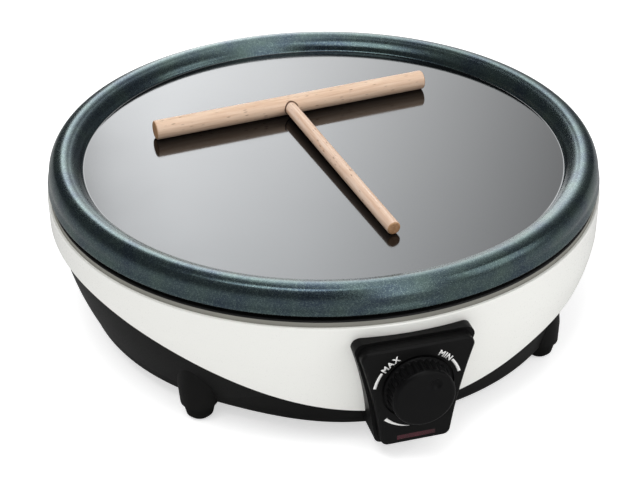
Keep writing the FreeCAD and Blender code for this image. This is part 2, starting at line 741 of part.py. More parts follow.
def build_wiring_pieces():
    under = "Sizes.surface_height - Sizes.plate_thickness"
    case = primitive("Box", "fuse_case", ("-11", "40", under + " - 6.5"), Length="22", Width="9", Height="6.5")
    left = primitive("Box", "fuse_tab_left", ("-18", "41.4", under + " - 3.4"), Length="7.5", Width="6.3", Height="0.8")
    right = primitive("Box", "fuse_tab_right", ("10.5", "41.4", under + " - 3.4"), Length="7.5", Width="6.3",
                      Height="0.8")
    fused("thermal_fuse", [case, left, right])
    floor = "Sizes.bowl_low + 1.6"
    block = primitive("Box", "terminal_bar", ("-16", "112", floor), Length="32", Width="16", Height="14")
    drills = doc.addObject("Part::MultiFuse", "terminal_drills")
    cutters = []
    for number, across in enumerate(("-10.5", "0", "10.5"), start=1):
        top = primitive("Cylinder", "terminal_top_%d" % number, (across, "120", floor + " + 6"), Radius="2.2",
                        Height="10")
        way = primitive("Cylinder", "terminal_way_%d" % number, (across, "130", floor + " + 5"), FRONT,
                        Radius="1.8", Height="20")
        cutters += [top, way]
    drills.Shapes = cutters
    node_of(cut(block, drills, "terminal_cut"), "terminal_block")


# Cable inlet: the moulded bush through the back of the band and the bowl


def build_inlet():
    mouth = ("0", "Sizes.inlet_mouth", "Sizes.inlet_height")
    collar = primitive("Cylinder", "inlet_collar", mouth, FRONT, Radius="10", Height="3.9")
    neck = primitive("Cylinder", "inlet_neck", mouth, FRONT, Radius="Sizes.inlet_neck_radius", Height="18.5")
    beyond = ("0", "Sizes.inlet_mouth + 3", "Sizes.inlet_height")
    bore = primitive("Cylinder", "inlet_bore", beyond, FRONT, Radius="Sizes.inlet_bore", Height="30")
    joined = doc.addObject("Part::Fuse", "inlet_solid")
    joined.Base = collar
    joined.Tool = neck
    node_of(cut(joined, bore, "inlet_cut"), "cable_inlet")


# Spreader: a turned beech bar with a thinner handle set into it, lying on the plate


def build_spreader():
    length = cell("spreader_length")
    radius = cell("spreader_radius")
    thin = cell("handle_radius")
    reach = cell("handle_length")
    edge = 0.8
    along = FreeCAD.Vector(1, 0, 0)
    start = FreeCAD.Vector(-length / 2, 0, 0)
    bar = Part.makeCylinder(radius, length, start, along)
    bar = bar.makeChamfer(edge, [item for item in bar.Edges if item.Length < 2.1 * math.pi * radius and item.Closed])
    socket = Part.makeCylinder(thin, radius + 2.5, FreeCAD.Vector(0, 0, 0), FreeCAD.Vector(0, -1, 0))
    bar = bar.cut(socket)
    handle = Part.makeCylinder(thin, reach, FreeCAD.Vector(0, 0, 0), FreeCAD.Vector(0, -1, 0))
    far_edge = [item for item in handle.Edges if item.Closed and item.BoundBox.YMax < -reach + 1]
    handle = handle.makeChamfer(edge, far_edge)
    slope = math.degrees(math.asin((radius - thin) / reach))
    lie = FreeCAD.Rotation(FreeCAD.Vector(0, 0, 1), SPREADER_TURN)
    dip = FreeCAD.Rotation(along, slope)
    place = FreeCAD.Placement(
        FreeCAD.Vector(SPREADER_CENTRE[0], SPREADER_CENTRE[1], cell("surface_height") + radius + 0.15),
        lie.multiply(dip))
    shape_node("spreader_bar", bar, place)
    shape_node("spreader_handle", handle, place)


def check_and_write():
    """Stop on a failed object or a bad shape, then write one file per node."""
    doc.recompute()
    for item in doc.Objects:
        if "Invalid" in item.State or "Error" in item.State:
            raise RuntimeError("%s failed: %s" % (item.Name, item.State))
    os.makedirs("parts", exist_ok=True)
    for item in solids:
        shape = item.Shape
        if shape.isNull() or not shape.isValid():
            raise RuntimeError("bad shape in %s" % item.Label)
        shape.exportStep("parts/%s.step" % item.Label)
        box = shape.BoundBox
        print("%-20s volume %9.1f  solids %d  z %6.1f to %6.1f" % (
            item.Label, shape.Volume, len(shape.Solids), box.ZMin, box.ZMax))


build_plate()
build_element()
build_band()
build_support_ring()
build_bowl()
build_feet()
build_pillars()
build_shield()
build_box_frame()
build_box_cover()
build_lens()
build_knob()
build_shaft()
build_thermostat()
build_wiring_pieces()
build_inlet()
build_spreader()
check_and_write()
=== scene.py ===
"""Electric crepe maker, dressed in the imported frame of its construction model.

The frame is the construction's: +Z up, the control box towards -Y, the origin on the table under
the centre of the plate. Pieces are worked out in millimetres and placed in metres.
"""

import logging
import math
from dataclasses import dataclass, replace
from enum import Enum
from typing import Optional, Sequence

import bmesh
import bpy
import numpy as np
from mathutils import Matrix, Vector

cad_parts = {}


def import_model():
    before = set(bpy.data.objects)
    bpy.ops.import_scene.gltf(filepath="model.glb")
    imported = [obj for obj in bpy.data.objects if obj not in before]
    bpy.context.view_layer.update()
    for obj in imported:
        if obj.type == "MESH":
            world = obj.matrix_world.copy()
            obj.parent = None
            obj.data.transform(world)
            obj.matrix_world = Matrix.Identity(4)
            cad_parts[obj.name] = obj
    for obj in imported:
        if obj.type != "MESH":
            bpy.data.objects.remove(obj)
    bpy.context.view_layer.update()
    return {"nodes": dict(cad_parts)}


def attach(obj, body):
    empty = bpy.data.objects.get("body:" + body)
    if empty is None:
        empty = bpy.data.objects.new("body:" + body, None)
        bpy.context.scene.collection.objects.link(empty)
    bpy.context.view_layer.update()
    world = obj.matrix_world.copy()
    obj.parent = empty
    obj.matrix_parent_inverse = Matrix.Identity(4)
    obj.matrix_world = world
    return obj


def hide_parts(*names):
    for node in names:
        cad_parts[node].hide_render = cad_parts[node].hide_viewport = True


Tree = bpy.types.NodeTree
Node = bpy.types.Node
Socket = bpy.types.NodeSocket
Piece = bpy.types.Object
Array = np.ndarray

log = logging.getLogger("crepe_maker")
MM = 0.001
TURN = 2.0 * math.pi
CREASE = 38.0  # degrees past which an edge shades sharp
MIX_A, MIX_B, MIX_OUT = 6, 7, 2  # the Mix node's sockets for colours


class Body(Enum):
    """The rigid bodies of the frame that pieces ride on."""

    BASE = "base"
    DIAL = "dial"
    SPREADER = "spreader"


# Colours and nodes


def linear_colour(hex_code: str) -> tuple[float, float, float, float]:
    """Turn an sRGB hex colour into the linear colour that shaders take.

    Args:
        hex_code: six hex digits, such as "e8e8e4".

    Returns:
        Linear red, green, blue and an alpha of one.
    """
    channels = []
    for place in (0, 2, 4):
        level = int(hex_code[place:place + 2], 16) / 255.0
        channels.append(level / 12.92 if level <= 0.04045 else ((level + 0.055) / 1.055) ** 2.4)
    return (*channels, 1.0)


def grey(level: float) -> tuple[float, float, float, float]:
    """Give a neutral linear colour of one level."""
    return (level, level, level, 1.0)


def texture_scale(feature_mm: float) -> float:
    """Give the scale at which a texture's features are about this many millimetres wide."""
    return 1.0 / (feature_mm * MM)


def set_inputs(node: Node, values: dict) -> None:
    """Set a node's fixed input values, by input name or number."""
    for name, fixed in values.items():
        node.inputs[name].default_value = fixed


def add_node(tree: Tree, kind: str, inputs: Optional[dict] = None, links: Optional[dict] = None,
             stops: Sequence[tuple[float, str]] = (), feeds: Optional[Socket] = None, **settings: object) -> Node:
    """Add one node with its settings, its fixed input values and its links.

    Args:
        tree: the node tree that takes the node.
        kind: the node's type name after "ShaderNode".
        inputs: input name or number to fixed value.
        links: input name or number to the output socket that feeds it, or to a node for its first.
        stops: position and hex colour of each stop, where the node is a colour ramp.
        feeds: the input socket that takes this node's first output.
        **settings: properties of the node itself.

    Returns:
        The new node.
    """
    node = tree.nodes.new("ShaderNode" + kind)
    for name, setting in settings.items():
        setattr(node, name, setting)
    set_inputs(node, inputs or {})
    for name, source in (links or {}).items():
        socket = source.outputs[0] if isinstance(source, Node) else source
        tree.links.new(socket, node.inputs[name])
    for index, (position, hex_code) in enumerate(stops):
        bar = node.color_ramp.elements
        stop = bar[index] if index < 2 else bar.new(position)
        stop.position = position
        stop.color = linear_colour(hex_code)
    if feeds is not None:
        tree.links.new(node.outputs[0], feeds)
    return node


# Finishes


@dataclass(frozen=True)
class Finish:
    """A finish: the maker's name of the material and its main colour."""

    name: str
    colour: str

    def shade(self, tree: Tree, shader: Node, place: Socket) -> None:
        """Set the shader for this finish.

        Args:
            tree: the material's nodes.
            shader: its Principled shader.
            place: object coordinates.
        """
        set_inputs(shader, {"Base Color": linear_colour(self.colour)})

    def material(self) -> bpy.types.Material:
        """Make the material, or find the one already made.

        Returns:
            The material of this finish's name.
        """
        found = bpy.data.materials.get(self.name)
        if found is not None:
            return found
        made = bpy.data.materials.new(self.name)
        made.use_nodes = True
        tree = made.node_tree
        tree.nodes.clear()
        shader = add_node(tree, "BsdfPrincipled")
        add_node(tree, "OutputMaterial", links={"Surface": shader})
        place = add_node(tree, "TexCoord").outputs["Object"]
        self.shade(tree, shader, place)
        made.diffuse_color = linear_colour(self.colour)
        return made


@dataclass(frozen=True)
class MouldedPlastic(Finish):
    """Injection-moulded plastic with a fine eroded grain, which breaks the gloss into a soft sheen."""

    gloss: float = 0.42
    grain_mm: float = 0.55
    grain_depth_mm: float = 0.02
    worn: str = "2c2c2a"
    level: float = 0.5

    def shade(self, tree: Tree, shader: Node, place: Socket) -> None:
        """Mottle the colour a little and raise the eroded grain.

        Args:
            tree: the material's nodes.
            shader: its Principled shader.
            place: object coordinates.
        """
        set_inputs(shader, {"IOR": 1.5, "Specular IOR Level": self.level})
        cloud = add_node(tree, "TexNoise", {"Scale": texture_scale(40), "Detail": 4.0}, {"Vector": place})
        add_node(tree, "ValToRGB", links={"Fac": cloud}, feeds=shader.inputs["Base Color"],
                 stops=[(0.35, self.colour), (0.75, self.worn)])
        grain = add_node(tree, "TexNoise",
                         {"Scale": texture_scale(self.grain_mm), "Detail": 2.0, "Roughness": 0.6}, {"Vector": place})
        add_node(tree, "MapRange",
                 {"From Min": 0.3, "From Max": 0.7, "To Min": self.gloss - 0.05, "To Max": self.gloss + 0.07},
                 {"Value": grain}, feeds=shader.inputs["Roughness"])
        add_node(tree, "Bump", {"Strength": 0.5, "Distance": self.grain_depth_mm * MM},
                 {"Height": grain}, feeds=shader.inputs["Normal"])


@dataclass(frozen=True)
class GlossShell(Finish):
    """High-gloss moulded ABS: a clear, slightly wavy skin over a white body colour."""

    tint: str = "eaeae5"

    def shade(self, tree: Tree, shader: Node, place: Socket) -> None:
        """Vary the white and its gloss within a fine peel, too small to show as patches.

        Args:
            tree: the material's nodes.
            shader: its Principled shader.
            place: object coordinates.
        """
        set_inputs(shader, {"IOR": 1.52, "Coat Weight": 0.25, "Coat Roughness": 0.08})
        peel = add_node(tree, "TexNoise", {"Scale": texture_scale(0.8), "Detail": 2.0}, {"Vector": place})
        add_node(tree, "ValToRGB", links={"Fac": peel}, feeds=shader.inputs["Base Color"],
                 stops=[(0.2, self.colour), (0.8, self.tint)])
        add_node(tree, "MapRange", {"To Min": 0.26, "To Max": 0.30}, {"Value": peel},
                 feeds=shader.inputs["Roughness"])
        add_node(tree, "Bump", {"Strength": 0.04, "Distance": 0.01 * MM}, {"Height": peel},
                 feeds=shader.inputs["Normal"])


@dataclass(frozen=True)
class NonStickFace(Finish):
    """Glossy black non-stick coat, sprayed and baked: a dark mirror with a faint orange-peel."""

    tint: str = "f4faff"

    def shade(self, tree: Tree, shader: Node, place: Socket) -> None:
        """Keep the coat almost mirror-like, with baked-in haze and a fine peel.

        Args:
            tree: the material's nodes.
            shader: its Principled shader.
            place: object coordinates.
        """
        super().shade(tree, shader, place)
        set_inputs(shader, {"IOR": 1.62, "Specular Tint": linear_colour(self.tint)})
        haze = add_node(tree, "TexNoise", {"Scale": texture_scale(55), "Detail": 5.0}, {"Vector": place})
        add_node(tree, "MapRange", {"From Min": 0.3, "From Max": 0.75, "To Min": 0.06, "To Max": 0.13},
                 {"Value": haze}, feeds=shader.inputs["Roughness"])
        peel = add_node(tree, "TexNoise", {"Scale": texture_scale(1.5), "Detail": 2.0}, {"Vector": place})
        add_node(tree, "Bump", {"Strength": 0.12, "Distance": 0.01 * MM}, {"Height": peel},
                 feeds=shader.inputs["Normal"])


@dataclass(frozen=True)
class SpeckledEnamel(Finish):
    """Baked teal-black metallic coat: a dark, smooth ground in which fine flakes catch the light.

    The flakes are 0.5 mm, coarser than the real ones, so that they show at all.
    """

    mid: str = "4d5e5b"
    flake: str = "859894"
    flake_mm: float = 0.5

    def shade(self, tree: Tree, shader: Node, place: Socket) -> None:
        """Scatter flakes over a ground that shifts between navy and teal, each flake tilted its own way.

        Args:
            tree: the material's nodes.
            shader: its Principled shader.
            place: object coordinates.
        """
        set_inputs(shader, {"Metallic": 0.85})
        cloud = add_node(tree, "TexNoise", {"Scale": texture_scale(18), "Detail": 3.0}, {"Vector": place})
        ground = add_node(tree, "ValToRGB", links={"Fac": cloud}, stops=[(0.35, self.colour), (0.70, self.mid)])
        cells = add_node(tree, "TexVoronoi", {"Scale": texture_scale(self.flake_mm)}, {"Vector": place})
        chance = add_node(tree, "SeparateColor", links={"Color": cells.outputs["Color"]})
        glint = add_node(tree, "MapRange", {"From Min": 0.60, "From Max": 1.0, "To Max": 0.34},
                         {"Value": chance.outputs["Red"]})
        mix = add_node(tree, "Mix", {MIX_B: linear_colour(self.flake)},
                       {"Factor": glint, MIX_A: ground}, data_type="RGBA")
        tree.links.new(mix.outputs[MIX_OUT], shader.inputs["Base Color"])
        add_node(tree, "MapRange", {"To Min": 0.24, "To Max": 0.32}, {"Value": chance.outputs["Green"]},
                 feeds=shader.inputs["Roughness"])
        add_node(tree, "Bump", {"Strength": 0.04, "Distance": 0.02 * MM},
                 {"Height": chance.outputs["Blue"]}, feeds=shader.inputs["Normal"])


@dataclass(frozen=True)
class Beech(Finish):
    """Sanded beech, left bare: pale pinkish wood with straight grain and short dark ray flecks."""

    dark: str = "dcb698"
    fleck: str = "8a5c3c"
    axis_turn: float = 0.0
    length_ratio: float = 22.0

    def shade(self, tree: Tree, shader: Node, place: Socket) -> None:
        """Stretch the grain and the flecks along the piece's own length.

        Args:
            tree: the material's nodes.
            shader: its Principled shader.
            place: object coordinates.
        """
        set_inputs(shader, {"Roughness": 0.55, "IOR": 1.45})
        along = add_node(tree, "Mapping", {"Rotation": (0.0, 0.0, -self.axis_turn)}, {"Vector": place})
        fine = add_node(tree, "Mapping", {"Scale": (1.0 / self.length_ratio, 1.0, 1.0)}, {"Vector": along})
        grain = add_node(tree, "TexNoise",
                         {"Scale": texture_scale(1.6), "Detail": 4.0, "Roughness": 0.65}, {"Vector": fine})
        tone = add_node(tree, "ValToRGB", links={"Fac": grain}, stops=[(0.30, self.dark), (0.62, self.colour)])
        short = add_node(tree, "Mapping", {"Scale": (0.22, 1.0, 1.0)}, {"Vector": along})
        rays = add_node(tree, "TexVoronoi", {"Scale": texture_scale(1.3), "Randomness": 1.0}, {"Vector": short})
        mark = add_node(tree, "MapRange", {"From Min": 0.30, "From Max": 0.10}, {"Value": rays})
        pick = add_node(tree, "SeparateColor", links={"Color": rays.outputs["Color"]})
        some = add_node(tree, "MapRange", {"From Min": 0.55, "From Max": 0.75}, {"Value": pick})
        both = add_node(tree, "Math", links={0: mark, 1: some}, operation="MULTIPLY")
        soft = add_node(tree, "Math", {1: 0.75}, {0: both}, operation="MULTIPLY")
        mix = add_node(tree, "Mix", {MIX_B: linear_colour(self.fleck)},
                       {"Factor": soft, MIX_A: tone}, data_type="RGBA")
        tree.links.new(mix.outputs[MIX_OUT], shader.inputs["Base Color"])
        add_node(tree, "Bump", {"Strength": 0.35, "Distance": 0.06 * MM}, {"Height": grain},
                 feeds=shader.inputs["Normal"])


@dataclass(frozen=True)
class SheetMetal(Finish):
    """Rolled or drawn metal: streaks of slightly different roughness, with dulled patches."""

    rough: float = 0.3
    heat: str = "8d8880"

    def shade(self, tree: Tree, shader: Node, place: Socket) -> None:
        """Dull the metal in clouds and streak its roughness.

        Args:
            tree: the material's nodes.
            shader: its Principled shader.
            place: object coordinates.
        """
        set_inputs(shader, {"Metallic": 1.0})
        cloud = add_node(tree, "TexNoise", {"Scale": texture_scale(14), "Detail": 4.0}, {"Vector": place})
        add_node(tree, "ValToRGB", links={"Fac": cloud}, feeds=shader.inputs["Base Color"],
                 stops=[(0.35, self.heat), (0.65, self.colour)])
        stretched = add_node(tree, "Mapping", {"Scale": (1.0, 1.0, 0.06)}, {"Vector": place})
        streak = add_node(tree, "TexNoise", {"Scale": texture_scale(0.8), "Detail": 3.0}, {"Vector": stretched})
        add_node(tree, "MapRange", {"To Min": self.rough - 0.08, "To Max": self.rough + 0.12},
                 {"Value": streak}, feeds=shader.inputs["Roughness"])


@dataclass(frozen=True)
class TintedLens(Finish):
    """Dark red moulded acrylic: a clear gloss over a deep colour."""

    thin: str = "4a1020"

    def shade(self, tree: Tree, shader: Node, place: Socket) -> None:
        """Keep the red dark and clear, with slight flow marks from the mould.

        Args:
            tree: the material's nodes.
            shader: its Principled shader.
            place: object coordinates.
        """
        set_inputs(shader, {"IOR": 1.49, "Roughness": 0.16})
        flow = add_node(tree, "TexNoise", {"Scale": texture_scale(6), "Detail": 2.0}, {"Vector": place})
        add_node(tree, "ValToRGB", links={"Fac": flow}, feeds=shader.inputs["Base Color"],
                 stops=[(0.35, self.colour), (0.75, self.thin)])


# Band: white ABS from a polished mould.
BAND_WHITE = GlossShell("white_abs_gloss", "edede9")
# The band's recess under the rim: the white plastic, matt, painted grey-brown as the shade cast by the rim above.
BAND_RECESS_SHADE = MouldedPlastic("band_recess_painted_shade", "82817a", gloss=0.6, worn="8a8981", level=0.2)
# Painted shade: dark beech round the handle where it meets the bar, standing for the shade in the join.
BEECH_SOCKET_SHADE = Beech("beech_socket_painted_shade", "6b4c37", dark="4b3424")
# Bowl: black PBT, which stands the heat.
BOWL_BLACK = MouldedPlastic("black_pbt_moulded", "101010", gloss=0.46, worn="151514", level=0.10)
# Control box: black ABS, a little glossier.
BOX_BLACK = MouldedPlastic("black_abs_control_box", "0f0f0f", gloss=0.40, worn="131313", level=0.09)
# Dial: black phenolic, the glossiest black.
KNOB_BLACK = MouldedPlastic("black_phenolic_knob", "0c0c0d", gloss=0.38, worn="101010", level=0.09)
# Feet: matt black rubber.
FOOT_RUBBER = MouldedPlastic("black_rubber_feet", "0d0d0c", gloss=0.62, worn="121211", level=0.09)
# Ring under the plate and cable inlet: black silicone. The band's top edge takes it too, as painted shade in the gap
# under the rim.
SEAL_BLACK_AND_GAP_SHADE = MouldedPlastic("black_silicone_seal_and_gap_shade", "0e0e0e", gloss=0.6, worn="151515", level=0.3)
# Cooking face: gloss black non-stick.
PLATE_FACE = NonStickFace("non_stick_black_gloss", "060607")
# Rim: teal-black coating with metal flakes.
RIM_TEAL = SpeckledEnamel("teal_flake_coating", "3b4853")
# Spreader: bare beech, grain along each rod, and its end grain.
BEECH_BAR = Beech("sanded_beech_bar", "f2d5bc", axis_turn=math.radians(6.3))
BEECH_HANDLE = Beech("sanded_beech_handle", "f2d8c4", axis_turn=math.radians(6.3 - 90.0))
BEECH_END = Beech("beech_end_grain", "c99f79", dark="a97c56", length_ratio=1.0)
# Plate's underside: bare cast aluminium.
CAST_UNDERSIDE = SheetMetal("cast_aluminium_underside", "a9aaab", rough=0.5, heat="8f8e8c")
# Print round the dial: white ink.
PRINT_WHITE = MouldedPlastic("white_pad_print", "f0f0ee", gloss=0.5, worn="e4e4e2", grain_depth_mm=0.004)
# Screws, pillars and brackets: zinc-plated steel.
STEEL = SheetMetal("zinc_plated_steel", "b9b9b4")
# Heat shield: bright aluminium sheet.
SHIELD_SHEET = SheetMetal("aluminium_sheet", "d4d5d6", rough=0.24, heat="b9b8b4")
# Element: steel tube browned by its heat.
ELEMENT_TUBE = SheetMetal("heating_tube_oxidised", "6f6a62", rough=0.42, heat="3f3b37")
# Thermostat, terminals and lamp holder: pale steatite.
CERAMIC = MouldedPlastic("steatite_insulator", "d8cfba", gloss=0.5, worn="cabfa6")
# Strip over the lamp: dark red acrylic.
LENS_RED = TintedLens("red_acrylic_lens", "2b060d")

NODE_FINISH: dict[str, Finish] = {
    "base_bowl": BOWL_BLACK, "housing_band": BAND_WHITE, "control_frame": BOX_BLACK, "control_cover": BOX_BLACK,
    "control_knob": KNOB_BLACK, "cooking_plate": RIM_TEAL, "indicator_lens": LENS_RED,
    "heat_shield": SHIELD_SHEET, "heating_element": ELEMENT_TUBE, "thermostat_body": CERAMIC,
    "cable_inlet": SEAL_BLACK_AND_GAP_SHADE, "support_ring": SEAL_BLACK_AND_GAP_SHADE, "terminal_block": CERAMIC,
    "lamp_saddle": CERAMIC, "spreader_bar": BEECH_BAR, "spreader_handle": BEECH_BAR,
}


def dress_frame(nodes: dict[str, Piece]) -> None:
    """Give every node carried over from the construction its finish.

    Args:
        nodes: the frame's objects by node name.
    """
    for name, node in nodes.items():
        finish = NODE_FINISH.get(name, FOOT_RUBBER if name.startswith("rubber_foot") else STEEL)
        node.data.materials.clear()
        node.data.materials.append(finish.material())


# Surfaces


def arc_centre(first: Array, last: Array, radius: float, side: int) -> Array:
    """Find an arc's centre: sqrt(radius^2 - half chord^2) from the middle of its chord, at right angles.

    Args:
        first: the arc's first point.
        last: its last point.
        radius: its radius.
        side: +1 bulges to the right of the way from first to last, -1 to the left.

    Returns:
        The centre, on the side away from the bulge.
    """
    chord = last - first
    length = np.hypot(*chord)
    normal = np.array((chord[1], -chord[0])) / length
    return (first + last) / 2 - normal * side * math.sqrt(radius ** 2 - length ** 2 / 4)


def arc(start: tuple[float, float], end: tuple[float, float], radius: float, side: int, count: int = 12) -> Array:
    """Sample the short arc from start to end, leaving out its end point.

    Args:
        start: first point of the profile plane.
        end: last point.
        radius: the arc's radius.
        side: +1 bulges to the right, -1 to the left.
        count: number of points.

    Returns:
        A (count, 2) array that begins at start.
    """
    first, last = np.array(start), np.array(end)
    centre = arc_centre(first, last, radius, side)
    from_first, from_last = first - centre, last - centre
    swing = math.atan2(from_first[0] * from_last[1] - from_first[1] * from_last[0], from_first @ from_last)
    angle = math.atan2(from_first[1], from_first[0]) + swing * np.arange(count) / count
    return centre + radius * np.stack((np.cos(angle), np.sin(angle)), axis=1)


def profile(*corners: tuple) -> Array:
    """Join straight runs and arcs into one line of points.

    Args:
        *corners: (across, up), or (across, up, radius, side) where the way on is an arc, or
            (across, up, steps) where the way on is a straight run in that many steps.

    Returns:
        An (n, 2) array that ends at the last corner.
    """
    parts = []
    for corner, following in zip(corners, corners[1:]):
        here, there = corner[:2], following[:2]
        if len(corner) == 4:
            parts.append(arc(here, there, corner[2], corner[3]))
            continue
        steps = corner[2] if len(corner) == 3 else 1
        share = np.arange(steps)[:, None] / steps
        parts.append(np.array(here) * (1 - share) + np.array(there) * share)
    parts.append(np.array([corners[-1][:2]]))
    return np.concatenate(parts)


def circle(count: int) -> Array:
    """Give so many even angles round a circle, as a column."""
    return TURN * np.arange(count)[:, None] / count


def around(radius: Array, height: Array, angle: Array) -> Array:
    """Place points about the vertical axis: x = r cos a, y = r sin a, z = height."""
    return np.stack((radius * np.cos(angle), radius * np.sin(angle), height + 0 * angle), axis=-1)


def grid_faces(rows: int, columns: int, wrap_rows: bool, wrap_columns: bool) -> list[list[int]]:
    """Number the quads of a grid: corner (i, j), (i, j+1), (i+1, j+1), (i+1, j), wrapped where asked.

    Args:
        rows: number of rows of points.
        columns: number of points in a row.
        wrap_rows: join the last row to the first.
        wrap_columns: join the last column to the first.

    Returns:
        Four point numbers per quad.
    """
    last_row = rows if wrap_rows else rows - 1
    last_column = columns if wrap_columns else columns - 1
    i, j = np.meshgrid(np.arange(last_row), np.arange(last_column), indexing="ij")
    under, beyond = (i + 1) % rows, (j + 1) % columns
    quads = np.stack((i * columns + j, i * columns + beyond, under * columns + beyond, under * columns + j), axis=-1)
    return quads.reshape(-1, 4).tolist()


def solid(name: str, points: Array, faces: list[list[int]], crease: float = CREASE) -> Piece:
    """Make a smooth object of points and faces, its poles and seams merged and its faces outwards.

    Args:
        name: the piece's name.
        points: (n, 3) places in millimetres.
        faces: the point numbers of each face.
        crease: angle in degrees past which an edge shades sharp.

    Returns:
        The linked object, at the origin.
    """
    mesh = bpy.data.meshes.new(name)
    mesh.from_pydata((points * MM).tolist(), [], faces)
    work = bmesh.new()
    work.from_mesh(mesh)
    bmesh.ops.remove_doubles(work, verts=work.verts, dist=1e-6)
    bmesh.ops.recalc_face_normals(work, faces=work.faces)
    work.to_mesh(mesh)
    work.free()
    mesh.polygons.foreach_set("use_smooth", np.ones(len(mesh.polygons), dtype=bool))
    mesh.set_sharp_from_angle(angle=math.radians(crease))
    piece = bpy.data.objects.new(name, mesh)
    bpy.context.scene.collection.objects.link(piece)
    return piece


def surface(name: str, points: Array, tube: bool = False, crease: float = CREASE) -> Piece:
    """Make an object of a (rows, columns, 3) grid of points, its last row joined to the first.

    Args:
        name: the piece's name.
        points: places in millimetres.
        tube: join the last column to the first as well.
        crease: angle in degrees past which an edge shades sharp.

    Returns:
        The linked object, at the origin.
    """
    return solid(name, points.reshape(-1, 3), grid_faces(*points.shape[:2], True, tube), crease)


def face_centres(piece: Piece) -> Array:
    """Find the middle of every face of a piece.

    Args:
        piece: the object.

    Returns:
        An (n, 3) array in millimetres.
    """
    places = np.empty(len(piece.data.polygons) * 3)
    piece.data.polygons.foreach_get("center", places)
    return places.reshape(-1, 3) / MM


def seat(piece: Piece, body: Body, slot: str, finishes: Sequence[Finish], *nodes: str,
         chosen: Optional[Array] = None) -> None:
    """Give a piece its finishes, its rigid body and the nodes that it stands for.

    Args:
        piece: the object.
        body: the body that it rides on.
        slot: the record's material slot, not used.
        finishes: its finishes in order.
        *nodes: the nodes that it replaces, if any.
        chosen: one finish number per face, or nothing for the first.
    """
    for finish in finishes:
        piece.data.materials.append(finish.material())
    if chosen is not None:
        piece.data.polygons.foreach_set("material_index", chosen.astype(np.int32))
    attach(piece, body.value)
    if nodes:
        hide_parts(*nodes)
    log.info("%s: %d faces on %s", piece.name, len(piece.data.polygons), body.value)


# Pieces


@dataclass
class CookingPlate:
    """The coated disc: a flat gloss face inside a rounded rim whose skirt hangs over the band.

    Lengths are in millimetres, heights above the table.
    """

    face_height: float = 98.0
    face_radius: float = 145.0
    face_fillet: float = 1.6
    inner_curve: float = 11.0
    crest_radius: float = 157.4
    crest_curve: float = 9.5
    outer_curve: float = 10.5
    rim_radius: float = 166.2
    skirt_drop: float = 6.6
    skirt_lip: float = 0.9
    skirt_wall: float = 3.2
    thickness: float = 5.0
    segments: int = 288

    def outline(self) -> Array:
        """Draw the plate's half section, from the middle of the face to the middle of the underside.

        Returns:
            An (n, 2) array of radius and height.
        """
        top, face, rim, crest = self.face_height, self.face_radius, self.rim_radius, self.crest_radius
        lip, foot, under = self.skirt_lip, top - self.skirt_drop, top - self.thickness
        return profile(
            # the flat face, the fillet at its edge and the hollow slope up to the crest
            (0.0, top, 8), (face - 0.8, top), (face - 0.6, top, self.face_fillet, 1), (face + 0.7, top + 0.8, 2),
            (face + 1.6, top + 3.0, self.inner_curve, -1), (crest - 4.7, top + 7.5, self.crest_curve, -1),
            # over the crest, down the outside and round the skirt's lower lip
            (crest + 4.2, top + 7.4, self.outer_curve, -1), (rim - 1.2, top - 1.4, 3),
            (rim, foot + 0.8, lip, -1), (rim - lip, foot), (rim - 2.4, foot, lip, -1),
            # back up inside the skirt, under the crest and across the underside
            (rim - self.skirt_wall, foot + 0.8), (rim - 4.6, top - 0.8, 7.5, 1), (crest - 0.6, top + 4.9, 14, 1),
            (face + 1.2, under), (0.0, under))

    def build(self) -> None:
        """Make the plate with its gloss face, its flake rim and its plain underside."""
        plate = surface("plate_dressed", around(*self.outline().T[:, None, :], circle(self.segments)))
        middle = face_centres(plate)
        reach = np.hypot(middle[:, 0], middle[:, 1])
        chosen = np.ones(len(middle))
        chosen[(reach < self.face_radius) & (middle[:, 2] > self.face_height - 1)] = 0
        chosen[(reach < self.rim_radius - 4) & (middle[:, 2] < self.face_height - 2)] = 2
        seat(plate, Body.BASE, "plate", (PLATE_FACE, RIM_TEAL, CAST_UNDERSIDE), "cooking_plate", chosen=chosen)


